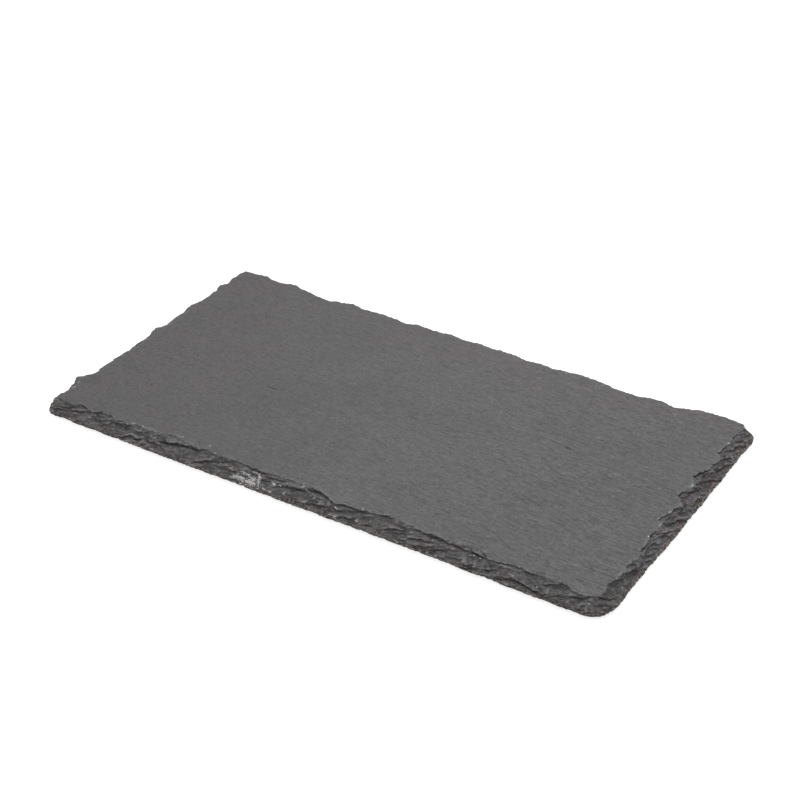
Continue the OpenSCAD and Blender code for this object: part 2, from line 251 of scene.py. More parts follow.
# Marks on the dressed edge, for each kind and side: mm along the side, share of the
# height, half length in mm, half height as a share, strength
# the pale marks are painted highlights: the flank given the lit serving face's tone where its facets
# catch the light
edgePaint = {("pale", "front"): [
    (-132, 0.5, 9, 0.25, 0.3), (-112, 0.45, 6, 0.2, 0.3), (-95, 0.75, 8, 0.2, 0.5),
    (-72, 0.5, 8, 0.25, 0.3), (-52, 0.85, 9, 0.18, 0.6), (-47, 0.35, 5, 0.15, 0.3),
    (-12, 0.45, 5, 0.3, 0.5), (-5, 0.95, 5, 0.1, 0.6), (5, 0.5, 6, 0.1, 0.4), (42, 0.35, 5, 0.2, 0.35),
    (42, 0.75, 6, 0.3, 0.6), (61, 0.5, 5, 0.18, 0.5), (70, 0.72, 11, 0.12, 0.7), (87, 0.55, 7, 0.2, 0.4),
    (108, 0.7, 6, 0.12, 0.6), (118, 0.55, 6, 0.12, 0.3), (134, 0.7, 7, 0.25, 0.5),
    (154, 0.45, 4, 0.3, 0.8),
], ("pale", "right"): [
    (-66, 0.3, 6, 0.2, 0.4), (-46, 0.75, 5, 0.12, 0.4), (-33, 0.4, 5, 0.2, 0.5),
    (-17, 0.55, 5, 0.2, 0.4), (5, 0.9, 5, 0.15, 0.6), (50, 0.85, 6, 0.12, 0.5), (58, 0.4, 6, 0.25, 0.4),
    (78, 0.5, 5, 0.3, 0.4),
], ("scuff", "front"): [
    (-129, 0.7, 0.8, 0.04, 0.7), (-114, 1.08, 1.4, 0.1, 0.4), (-106.5, 1.08, 1.6, 0.1, 0.45),
    (-101, 1.1, 1.4, 0.09, 0.5), (-95.5, 1.08, 2, 0.09, 0.45), (-86, 1.2, 0.8, 0.1, 0.6),
    (-79, 1.4, 0.8, 0.15, 0.5), (-63.5, 1.55, 0.7, 0.18, 0.5), (-49.2, 0.06, 0.8, 0.05, 0.8),
    (-48, 0.33, 0.9, 0.06, 0.4), (-40.8, 0.42, 0.7, 0.05, 0.7), (-39.6, 0.22, 1.7, 0.06, 0.8),
    (-39.6, 0.36, 0.8, 0.05, 0.8), (-38.4, 0.32, 0.9, 0.05, 0.8), (-37.2, 0.25, 1.5, 0.06, 0.7),
    (-37, 0.64, 1.2, 0.04, 0.7), (-36.5, 0.05, 3, 0.05, 0.5), (-35.2, 0.37, 1.9, 0.08, 1.1),
    (-35.2, 0.64, 1.2, 0.05, 0.9), (-35, 0.28, 5.5, 0.15, 0.65), (-34, 0.1, 1, 0.05, 1),
    (-33.4, 0.38, 1.2, 0.06, 0.9), (-33.2, 0.63, 1.3, 0.04, 0.8), (-32, 0.33, 1.4, 0.07, 0.8),
    (-31.8, 0.62, 0.9, 0.06, 1.2), (-31, 0.56, 0.9, 0.06, 1), (-30.2, 0.28, 1.6, 0.09, 1.2),
    (-29.8, 0.51, 1.2, 0.05, 0.9), (-29.8, 0.85, 1.1, 0.04, 1), (-28.5, 0.32, 4.5, 0.24, 0.7),
    (-28.4, 0.27, 1.6, 0.08, 1), (-28.2, 0.5, 1.2, 0.06, 1), (-28.2, 0.81, 0.8, 0.05, 0.9),
    (-27.5, 0.55, 3, 0.2, 0.55), (-26.8, 0.28, 1.4, 0.1, 0.8), (-26.5, 0.78, 0.6, 0.07, 1),
    (-25.5, 0.67, 0.9, 0.09, 1.3), (-25.2, 0.55, 0.7, 0.08, 1), (-24.9, 0.42, 0.7, 0.08, 0.9),
    (-24.5, 0.28, 0.9, 0.09, 0.7), (-24, 0.25, 1.6, 0.2, 0.5), (-21, 0.25, 1.5, 0.05, 0.8),
    (-18.2, 0.68, 0.9, 0.05, 1), (-17, 0.22, 1.5, 0.05, 0.8), (-17, 0.63, 0.8, 0.05, 1),
    (-15.8, 0.77, 2, 0.05, 0.45), (-13.8, 0.69, 0.6, 0.05, 0.9), (-10.4, 0.37, 1.4, 0.1, 0.45),
    (-10, 0.53, 1.6, 0.08, 0.5), (20, 0.55, 1, 0.05, 0.8), (20.8, 0.15, 2, 0.09, 0.6),
    (32, 0.36, 1.2, 0.07, 0.8), (33, 1, 1, 0.04, 0.8), (93, 0.8, 0.8, 0.04, 0.9),
    (97, 0.76, 0.8, 0.04, 0.7), (108, 0.42, 1, 0.04, 0.7), (114, 0.07, 1.5, 0.06, 0.6),
    (154, 0.5, 1.2, 0.12, 0.4), (156, 0.7, 0.8, 0.05, 0.7),
], ("scuff", "right"): [
    (-80, 0.6, 1, 0.06, 0.4), (-60.5, 1.05, 1.8, 0.1, 0.4), (-28.5, 1.08, 1, 0.08, 0.9),
    (-17.5, 1.08, 1, 0.08, 0.4), (-5.5, 1.06, 1, 0.08, 1.1), (20, 1.08, 1.2, 0.08, 0.9),
    (41.5, 0.95, 0.9, 0.07, 0.9), (64, 1.08, 1, 0.08, 1),
], ("scuff", "left"): [
    (66, 1.1, 2, 0.15, 0.42), (70, 1.2, 2.5, 0.15, 0.42),
], ("rust", "front"): [
    (-157.5, 0.5, 2.5, 0.3, 1), (-150, 0.05, 6, 0.1, 0.6), (-122, 0.25, 4, 0.1, 0.4),
    (-5, 0.15, 5, 0.1, 0.6), (66, 0.14, 8, 0.09, 0.5), (136, 0.25, 4, 0.15, 0.5),
    (152, 0.92, 4, 0.06, 0.8),
], ("rust", "right"): [
    (-84, 0.9, 3, 0.15, 0.6), (-75, 0.12, 8, 0.1, 0.6), (-48, 0.15, 3, 0.15, 0.8),
    (-24, 0.1, 7, 0.12, 0.8), (0, 0.1, 8, 0.1, 0.6), (30, 0.12, 9, 0.12, 0.7), (52, 0.12, 6, 0.12, 0.7),
    (70, 0.15, 10, 0.2, 1),
], ("rust", "left"): [
    (-40, 1, 6, 0.1, 0.5), (-8, 1.1, 5, 0.12, 0.5), (12, 1, 6, 0.08, 0.5), (33, 1.15, 5, 0.1, 0.5),
    (62, 1.05, 3, 0.15, 0.7), (70, 1.05, 3, 0.15, 0.7), (84, 0.4, 5, 0.5, 0.8),
# dark spots on the dressed edge, many of them just under the top edge
], ("darkSpots", "front"): [
    (-152, 0.88, 5, 0.1, 1.5), (-143, 0.7, 4, 0.07, 0.7), (-104, 0.8, 6, 0.1, 0.3),
    (-72, 0.86, 4, 0.05, 1), (-66.5, 0.95, 2, 0.05, 1.2), (-66, 0.9, 3, 0.06, 0.9),
    (-50, 0.93, 12, 0.12, 0.6), (-28, 0.93, 6, 0.1, 0.7), (5, 1.03, 5, 0.09, 1.2),
    (26, 0.8, 6, 0.05, 0.7), (70, 0.95, 8, 0.05, 1.1), (128, 0.5, 7, 0.2, 0.3),
], ("darkSpots", "right"): [
    (-76, 0.12, 2, 0.05, 0.9), (-54, 0.45, 5, 0.2, 0.6), (-24, 0.12, 2, 0.05, 0.9),
    (-10, 0.55, 6, 0.15, 0.4), (-7, 0.9, 5, 0.07, 0.7), (3, 0.75, 5, 0.1, 0.7), (12, 0.1, 2, 0.05, 0.9),
    (15, 0.88, 5, 0.07, 0.9), (20, 0.75, 7, 0.15, 0.5), (32, 0.15, 3, 0.06, 1), (33, 0.9, 4, 0.07, 0.8),
    (46, 0.45, 6, 0.12, 0.5), (52, 0.2, 3, 0.05, 1), (58, 0.9, 4, 0.07, 0.6), (72, 0.3, 3, 0.07, 0.9),
], ("darkSpots", "left"): [
    (67, 1.05, 5, 0.12, 0.6), (76, 1.05, 2.5, 0.2, 0.8),
], ("olive", "front"): [
    (-152.5, 0.55, 3.2, 0.2, 1.1), (-134, 0.32, 4, 0.2, 0.6), (-127, 0.15, 7, 0.15, 0.7),
    (-96, 0.1, 5, 0.12, 0.7), (-77, 0.2, 6, 0.15, 0.6), (-60, 0.2, 4, 0.2, 0.7),
    (-36, 0.05, 4, 0.06, 0.5), (-10, 0.42, 2.4, 0.26, 0.6), (3, 0.1, 5, 0.1, 0.6),
    (20, 0.08, 10, 0.1, 0.7), (34, 0.35, 4, 0.25, 0.6), (42, 0.55, 6, 0.4, 0.7), (63, 0.3, 4, 0.25, 0.7),
    (85, 0.25, 7, 0.2, 0.6), (101, 0.6, 7, 0.2, 0.6), (118, 0.15, 10, 0.15, 0.7),
], ("olive", "right"): [
    (-66, 0.3, 3, 0.15, 0.4), (-54, 0.5, 4, 0.2, 0.5), (-7, 0.35, 4, 0.2, 0.6), (10, 0.5, 4, 0.15, 0.4),
    (54, 0.1, 3, 0.08, 0.7), (67, 0.12, 4, 0.1, 0.8),
# painted sheen, soft highlights where the stone catches the light
], ("paintedHighlight", "front"): [
    (-106, 1.1, 2.5, 0.1, 0.8), (-96, 1.12, 4, 0.1, 0.8), (-82, 1.4, 4, 0.2, 0.5),
    (-70, 1.1, 3, 0.12, 0.6), (-14, 0.8, 3, 0.08, 0.7), (20, 1.35, 4, 0.15, 0.5), (57, 1.3, 3, 0.2, 0.5),
    (97, 1.1, 3, 0.08, 0.6), (149, 0.35, 1, 0.1, 0.7), (150, 1.3, 3, 0.25, 0.8),
    (153.5, 0.48, 2.5, 0.14, 0.9),
], ("paintedHighlight", "right"): [
    (-60, 1.08, 3, 0.08, 0.8), (-52, 1.1, 3, 0.08, 0.5), (-29, 1.08, 3, 0.08, 0.7),
    (-17, 1.1, 2, 0.1, 0.5), (4, 1, 3, 0.15, 0.6), (19, 1.05, 3, 0.1, 0.8), (58, 1.15, 8, 0.15, 0.4),
]}

# Nicks and glints on the serving face: x, y, half length and half width in mm,
# turn in degrees, strength
faceNicks = [
    (-110, -63, 3, 0.7, 32, 0.9), (-66, -15, 7, 0.9, 0, 0.8), (-61, -14, 2.2, 0.8, 60, 0.8),
    (83, 18, 7, 1, -6, 0.5), (90, 17, 3.5, 1.5, -6, 1), (112, 60, 4, 0.8, -10, 0.5),
    (138, 7, 3, 0.8, 0, 0.6), (-143, 57, 8, 1.2, 8, 0.35), (-129, 60, 6, 1, 5, 0.3),
    (-142, 38, 8, 1.2, -8, 0.3), (126, -79, 3.5, 1.3, 25, 0.8),
]
# painted glints, small highlights on the serving face
faceGlints = [
    (90, -4, 2, 0.8, 0, 0.5), (98, -4, 2.2, 0.8, 0, 0.6), (101, -2, 3, 0.7, 20, 0.3),
    (120, 9, 2.5, 0.8, -12, 0.6), (99, 33, 2, 0.8, 0, 0.4), (77, 33, 1.5, 0.8, 0, 0.4),
    (81, 34, 1.2, 1, 0, 0.4), (111, 47, 1.5, 0.9, 0, 0.6), (121, 74, 1.8, 1.3, 0, 1),
    (127, 68, 2, 1, 0, 0.5), (143, 9, 1.8, 1, 0, 0.5), (-61, -76, 1.2, 2, 20, 0.35),
    (-39, -63, 1.3, 1.3, 0, 0.35), (-17, -69, 1.8, 1.3, 0, 0.35),
]


def selectEdges(piece, wanted):  # by the places of an edge's two ends
    bpy.ops.mesh.select_mode(type="EDGE")
    bpy.ops.mesh.select_all(action="DESELECT")
    edit = bmesh.from_edit_mesh(piece.data)
    for edge in edit.edges:
        if wanted(edge.verts[0].co, edge.verts[1].co):
            edge.select_set(True)
    bmesh.update_edit_mesh(piece.data)


def faceGrid(name, height, grid):  # a flat face, finer along its rim
    along, across, cutsAlong, cutsAcross = grid
    bpy.ops.mesh.primitive_grid_add(x_subdivisions=along, y_subdivisions=across, size=1)
    face = bpy.context.object
    face.name = name
    size = (slab["length"] * mm, slab["width"] * mm, 1)
    bpy.ops.object.mode_set(mode="EDIT")
    bpy.ops.transform.resize(value=size)
    bpy.ops.transform.translate(value=(0, 0, height * mm))
    for axis, cuts in ((1, cutsAlong), (0, cutsAcross)):
        rim = size[axis] / 2 - 0.01 * mm
        selectEdges(face, lambda a, b: min(a[axis], b[axis]) > rim or max(a[axis], b[axis]) < -rim)
        bpy.ops.mesh.subdivide(number_cuts=cuts)
    bpy.ops.object.mode_set(mode="OBJECT")
    return face


def blockOutSlab():  # a box whose sides have the rows that the dressed edge is made from
    underside = faceGrid("underside", slab["bottom"], slab["undersideGrid"])
    block = faceGrid("slateBoard", slab["top"], slab["faceGrid"])
    bpy.ops.object.mode_set(mode="EDIT")
    bpy.ops.mesh.select_mode(type="EDGE")
    bpy.ops.mesh.select_all(action="DESELECT")
    bpy.ops.mesh.select_non_manifold()
    down = (slab["bottom"] - slab["top"]) * mm
    bpy.ops.mesh.extrude_edges_move(TRANSFORM_OT_translate={"value": (0, 0, down)})
    selectEdges(block, lambda a, b: abs(a.z - b.z) > mm)
    bpy.ops.mesh.subdivide(number_cuts=slab["rimRows"] + slab["flankRows"] - 1)
    bpy.ops.object.mode_set(mode="OBJECT")
    underside.select_set(True)
    bpy.ops.object.join()
    bpy.ops.object.mode_set(mode="EDIT")
    bpy.ops.mesh.select_all(action="SELECT")
    bpy.ops.mesh.remove_doubles(threshold=0.02 * mm)
    bpy.ops.mesh.normals_make_consistent(inside=False)
    bpy.ops.object.mode_set(mode="OBJECT")
    return block


def cornerRadius(x, y):
    front = np.where(x < 0, slab["frontLeft"], slab["frontRight"])
    return np.where(y < 0, front, slab["backCorner"])


class OutlineTable:  # where each column of the edge stands, going round from the front left
    def __init__(self):
        halfLength = slab["length"] / 2
        halfWidth = slab["width"] / 2
        turn = np.radians(np.linspace(0, 90, 61))
        arcs = []
        ends = np.radians([225, 315, 405, 495, 585])         # the facings where the sides meet
        for start, sx, sy in ((180, -1, -1), (270, 1, -1), (360, 1, 1), (450, -1, 1), (540, -1, -1)):
            r = float(cornerRadius(sx, sy))
            a = np.radians(start) + turn
            a = a[(a > ends[0] - 1e-6) & (a < ends[-1] + 1e-6)]
            arcs.append((sx * (halfLength - r) + r * np.cos(a),
                         sy * (halfWidth - r) + r * np.sin(a), a))
        xs, ys, facings = np.hstack(arcs)
        along = np.hstack([0, np.cumsum(np.hypot(np.diff(xs), np.diff(ys)))])
        self.around = along[-1]
        corners = np.interp(ends, facings, along)
        cellsAlong, cellsAcross, cutsAlong, cutsAcross = slab["faceGrid"]
        nAlong = cellsAlong * (cutsAlong + 1)
        nAcross = cellsAcross * (cutsAcross + 1)
        self.counts = (nAlong, nAcross, nAlong, nAcross)
        self.u = np.hstack([np.linspace(corners[i], corners[i + 1], n, endpoint=False)
                            for i, n in enumerate(self.counts)])
        self.n = len(self.u)
        self.x = np.interp(self.u, along, xs)
        self.y = np.interp(self.u, along, ys)
        self.facing = np.interp(self.u, along, facings)
        self.outX = np.cos(self.facing)
        self.outY = np.sin(self.facing)
        self.trace = (xs, ys, facings, along)
        self.zero = {"front": self.nearest(0, -halfWidth), "right": self.nearest(halfLength, 0),
                     "left": self.nearest(-halfLength, 0)}

    def nearest(self, x, y):
        return self.u[int(np.argmin(np.hypot(self.x - x, self.y - y)))]

    def along(self, side):  # mm from the middle of a side, for each column
        return wrapped(self.u - self.zero[side], self.around)

    def edgeIn(self, node):  # how far in the top edge of the CAD slab stands, at each column
        points = np.array([v.co for v in node.data.vertices]) / mm
        rim = points[points[:, 2] > slab["top"] - 0.01, :2]
        xs, ys, facings, along = self.trace
        fine = np.linspace(0, self.around, 6000, endpoint=False)
        fx, fy, ff = (np.interp(fine, along, part) for part in (xs, ys, facings))
        places, insets = [], []
        for px, py in rim:
            back = (fx - px) * np.cos(ff) + (fy - py) * np.sin(ff)   # distance along the facing
            side = np.abs((fy - py) * np.cos(ff) - (fx - px) * np.sin(ff))
            best = np.argmin(side + np.where((back > 0) & (back < 16), 0, 1000))
            places.append(fine[best])
            insets.append(back[best])
        order = np.argsort(places)
        places, insets = np.array([places, insets])[:, order]
        return np.interp(self.u, places, insets, period=self.around)


def valueNoise(a, b, cellsRound, seed):  # smooth noise from -1 to 1 that closes round the board
    values = np.random.RandomState(seed).uniform(-1, 1, (cellsRound, 512))
    ia = np.floor(a).astype(int)
    ib = np.floor(b).astype(int)
    ta = a - ia
    tb = b - ib
    ta = ta * ta * (3 - 2 * ta)
    tb = tb * tb * (3 - 2 * tb)
    a0, a1 = ia % cellsRound, (ia + 1) % cellsRound
    b0, b1 = ib % 512, (ib + 1) % 512
    low = values[a0, b0] * (1 - ta) + values[a1, b0] * ta
    high = values[a0, b1] * (1 - ta) + values[a1, b1] * ta
    return low * (1 - tb) + high * tb


def edgeNoise(table, s, sizeAlong, sizeUp, seed):  # at heights s up the flank, all in mm
    cells = max(4, round(table.around / sizeAlong))
    return valueNoise(table.u[:, None] / table.around * cells, s / sizeUp + 40, cells, seed)


def columnNoise(table, size, seed):  # the same all the way up a column
    return edgeNoise(table, np.zeros((1, 1)), size, 50, seed)[:, 0]


def columnNicks(table, layers):  # the parts of some noises that stand over a level
    total = np.zeros(table.n)
    for size, depth, level, seed in layers:
        total += depth * np.clip(columnNoise(table, size, seed) - level, 0, 1)
    return total


def hump(distance, reach):  # 1 in the middle, 0 from its reach on
    return np.cos(np.clip(np.abs(distance) / reach, 0, 1) * math.pi / 2) ** 2


def wrapped(distance, around):
    return (distance + around / 2) % around - around / 2


plainIn = {"front": 7.8, "right": 6.1, "left": 7}  # how far in the plain bevel's top stands, in mm


class DressedEdge:  # the chipped flank: how far the stone stands off the plain bevel
    samples = 170

    def __init__(self, table, edgeIn, footIn, wedge, soft):
        self.table = table
        self.edgeIn = edgeIn
        self.footIn = footIn
        self.rise = slab["top"] - slab["bottom"] - slab["lip"]
        self.slant = np.hypot(edgeIn, self.rise)             # length of the bevel, in mm
        self.share = share = np.linspace(0, 1, self.samples)
        self.s = share[None, :] * self.slant[:, None]
        belly = (4 * share * (1 - share))[None, :]
        self.field = slab["crown"] * belly * np.ones_like(self.s)
        for sizeAlong, sizeUp, depth, seed in slab["rough"]:
            self.field += depth * edgeNoise(table, self.s, sizeAlong, sizeUp, seed) * belly ** 0.5
        steep = np.clip(columnNoise(table, 13, 15)[:, None] * 1.2 + 0.45, 0, 1)
        fromTop = (1 - share[None, :]) * self.slant[:, None]
        depth, tall = slab["cliff"]
        self.field -= depth * steep * soft[:, None] * np.exp(-(fromTop / tall) ** 2)
        depth, tall = slab["wedgeCliff"]
        self.field -= depth * wedge[:, None] * np.exp(-(fromTop / tall) ** 2)
        # painted shade just under the top edge, where a wedge bites in
        self.dark = wedge[:, None] * np.exp(-(fromTop / 0.8) ** 2)
        self.straySmall = edgeNoise(table, self.s, 1.6, 50, 13)
        self.straySmall += 0.6 * edgeNoise(table, self.s, 0.9, 50, 16)
        self.strayWide = edgeNoise(table, self.s, 5, 50, 14)

    def cut(self, middle, reach, footAt, depth, lean, darkness=0.0):
        # one flake: a shallow face that sinks inwards to the foot of a steep riser
        du = wrapped(self.table.u - middle, self.table.around)
        near = np.abs(du) < reach
        du = du[near]
        bow = np.sqrt(1 - (du / reach) ** 2)[:, None]
        small, wide = slab["stray"]
        foot = footAt(du)[:, None] + small * self.straySmall[near] + wide * self.strayWide[near]
        off = self.s[near] - foot
        tread = -depth * bow - lean * off
        riser = -depth * bow + slab["riser"] * off
        self.field[near] = np.minimum(self.field[near], np.where(off < 0, tread, riser))
        # a painted shadow line along the foot of the riser
        if darkness:
            line = np.exp(-((off + 0.1) / slab["shadowLineHalf"]) ** 2) * bow ** 0.7
            self.dark[near] = np.maximum(self.dark[near], darkness * line)

    def randomChips(self, rng):
        for count, reaches, depths, leans in slab["chips"]:
            for _ in range(count):
                middle = rng.uniform(0, self.table.around)
                column = int(np.searchsorted(self.table.u, middle)) % self.table.n
                facing = self.table.facing[column]
                reach = math.exp(rng.uniform(math.log(reaches[0]), math.log(reaches[1])))
                depth = rng.uniform(*depths)
                lean = rng.uniform(*leans)
                height = rng.uniform(0.02, 1.02) * self.slant[column]
                # beds climb to the right along the front and dip to the back along the sides
                slope = -0.24 * math.sin(facing) - 0.42 * math.cos(facing)
                slope += rng.uniform(-0.14, 0.14)
                arch = rng.uniform(0.1, 0.45) * depth / lean
                self.cut(middle, reach,
                         lambda du: height + slope * du + arch * np.sqrt(1 - (du / reach) ** 2),
                         depth, lean, rng.uniform(-0.3, 0.55) if reach > 2 else 0)

    def edgeShare(self, side):  # how high the top edge shows on the plain bevel, as a share
        return 1 + 0.08 * (self.edgeIn - plainIn[side])

    def plannedCracks(self, side, cracks):
        stretch = self.slant / self.edgeShare(side)
        for fromAlong, fromUp, toAlong, toUp, depth in cracks:
            middle = self.table.zero[side] + (fromAlong + toAlong) / 2
            reach = (toAlong - fromAlong) / 2 * 1.15
            du = wrapped(self.table.u - middle, self.table.around)
            scale = stretch[int(np.argmin(np.abs(du)))]
            height = (fromUp + toUp) / 2 * scale
            slope = (toUp - fromUp) * scale / (toAlong - fromAlong)
            self.cut(middle, reach, lambda du: height + slope * du, depth * 0.8, 0.34, depth)

    def smoothed(self, values, columnsWide, samplesHigh):
        total = np.zeros_like(values)
        for k in range(-columnsWide, columnsWide + 1):
            total += np.roll(values, k, axis=0)
        total /= 2 * columnsWide + 1
        padded = np.pad(total, ((0, 0), (samplesHigh, samplesHigh)), mode="edge")
        sums = np.cumsum(np.pad(padded, ((0, 0), (1, 0))), axis=1)
        wide = 2 * samplesHigh + 1
        return (sums[:, wide:] - sums[:, :-wide]) / wide

    def rows(self, topAt, outlineIn):  # each column from the top edge down to the underside
        n = self.table.n
        cosUp = (self.edgeIn / self.slant)[:, None]
        sinUp = (self.rise / self.slant)[:, None]
        down = self.s[:, ::-1]
        field = self.field[:, ::-1]
        deep = self.smoothed(self.field, 6, 22)[:, ::-1] - field
        dark = self.dark[:, ::-1]
        inward = down * cosUp - field * sinUp + self.footIn[:, None] * (1 - self.share[::-1])
        height = slab["bottom"] + slab["lip"] + down * sinUp + field * cosUp
        outlineIn = outlineIn + self.footIn
        inward = np.maximum(inward, outlineIn[:, None] * np.exp(-(down / 1.2) ** 2))
        height = np.clip(height, slab["bottom"] + 0.02, topAt[:, None])
        out = outlineIn[:, None]
        low = np.full((n, 1), float(slab["bottom"]))
        none = np.zeros((n, 1))
        inward = np.hstack([self.edgeIn[:, None], inward[:, 1:-1], out, out])
        height = np.hstack([topAt[:, None], height[:, 1:-1], low + slab["lip"], low])
        deep = np.hstack([none, deep[:, 1:-1], none, none])
        dark = np.hstack([none, dark[:, 1:-1], none, none])
        share = np.hstack([self.share[::-1] * np.ones((n, 1)), none])
        step = np.hypot(np.diff(inward, axis=1), np.diff(height, axis=1)) + 1e-6
        path = np.hstack([none, np.cumsum(step, axis=1)])
        rowsWanted = slab["flankRows"] + 1
        result = np.empty((5, n, rowsWanted))
        for c in range(n):
            at = np.linspace(0, path[c, -1], rowsWanted)
            for k, values in enumerate((inward, height, deep, dark, share)):
                result[k, c] = np.interp(at, path[c], values[c])
        return result


def faceRelief(x, y):  # how far the riven serving face lies under its highest level, in mm
    turn = slab["rivenTurn"]
    along = x * math.cos(turn) - y * math.sin(turn)
    across = x * math.sin(turn) + y * math.cos(turn)
    relief = slab["faceUnder"]
    for sizeAlong, sizeAcross, height, seed in slab["riven"]:
        relief = relief + height * valueNoise(along / sizeAlong + 100, across / sizeAcross + 200,
                                              512, seed)
    return np.maximum(relief, 0)


def peelDepth(table, u, farIn):  # what the peels take off the face, this far in from its edge
    depth = np.zeros_like(u)
    rng = np.random.RandomState(5)
    spots = [(table.zero[side] + middle, reach, wide, deep) for side, middle, reach, wide, deep in peels]
    spots += [(rng.uniform(0, table.around), rng.uniform(1.5, 6), rng.uniform(0.5, 1.6),
               rng.uniform(0.08, 0.25)) for _ in range(slab["smallPeels"])]
    for middle, reach, wide, deep in spots:
        t = np.clip(np.abs(wrapped(u - middle, table.around)) / reach, 0, 1)
        edgeAt = wide * np.sqrt(1 - t * t)
        depth = np.maximum(depth, deep * np.clip((edgeAt - farIn) / 0.5 + 0.5, 0, 1) * (t < 1))
    return depth


def columnsOf(x, y, table):  # the column of each point on the block's sides, and which those are
    nAlong, nAcross = table.counts[:2]
    halfLength = slab["length"] / 2 - 0.01
    halfWidth = slab["width"] / 2 - 0.01
    placeX = (x / slab["length"] + 0.5) * nAlong
    placeY = (y / slab["width"] + 0.5) * nAcross
    column = np.where(x < -halfLength, 2 * nAlong + 2 * nAcross - placeY, -1)
    column = np.where(y > halfWidth, 2 * nAlong + nAcross - placeX, column)
    column = np.where(x > halfLength, nAlong + placeY, column)
    column = np.where(y < -halfWidth, placeX, column)
    column = np.rint(column).astype(int)
    return column % table.n, column >= 0


def dressEdge(table):  # the top edge with small chips of its own, and the flank under it
    edgeIn = table.edgeIn(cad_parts["slate_slab"])
    ragged = columnNoise(table, 3.2, 31) + 0.75 * columnNoise(table, 1.2, 32)
    onCorner = np.abs(np.sin(2 * table.facing)) > 0.01
    edgeIn = edgeIn + slab["arrisRagged"] * ragged * np.where(onCorner, slab["cornerRagged"], 1)
    footIn = columnNicks(table, slab["leftNicks"]) * np.clip(-table.outX, 0, 1) ** 4
    edgeIn = edgeIn + footIn
    for side, middle, reach, depth in edgeBites:
        bite = depth * hump(table.along(side) - middle, reach)
        edgeIn = edgeIn + bite
        footIn += np.maximum(bite, 0)
    wedge = np.zeros(table.n)
    for tip, length, depth in wedges:
        beyond = (table.along("right") - tip) / length
        rising = np.clip(1 + beyond * length / 0.9, 0, 1)
        bite = depth * np.where(beyond < 0, rising, np.clip(1 - beyond, 0, 1))
        edgeIn = edgeIn + bite
        wedge = np.maximum(wedge, np.where(beyond < 0, 0, np.clip(bite, 0, 1)))
    soft = np.ones(table.n)
    for middle, reach in softEdges:
        soft -= 0.9 * hump(table.along("front") - middle, reach)
    cornerRoom = cornerRadius(table.x, table.y) * 0.9
    edgeIn = np.where(onCorner, np.minimum(edgeIn, cornerRoom), edgeIn)
    edge = DressedEdge(table, edgeIn, footIn, wedge, soft)
    edge.randomChips(np.random.RandomState(slab["seed"]))
    edge.plannedCracks("front", frontCracks)
    edge.plannedCracks("right", rightCracks)
    return edge


def undersidePlaces(x, y):  # riven too, but flat where the tape discs hold on
    footX, footY = slab["footPlace"]
    flat, rising = slab["footFlat"]
    clear = np.clip((np.hypot(np.abs(x) - footX, np.abs(y) - footY) - flat) / rising, 0, 1)
    z = slab["bottom"] + clear * slab["undersideRiven"] * faceRelief(x + 300, y)
    corner = cornerRadius(x, y)
    a = np.clip((np.abs(x) - slab["length"] / 2 + corner) / corner, 0, 1)
    b = np.clip((np.abs(y) - slab["width"] / 2 + corner) / corner, 0, 1)
    tighten = np.maximum(a, b) / np.maximum(np.hypot(a, b), 1e-6)   # squares a corner off its arc
    pull = (1 - np.where((a > 0) & (b > 0), tighten, 1)) * corner
    return x - np.sign(x) * a * pull, y - np.sign(y) * b * pull, z


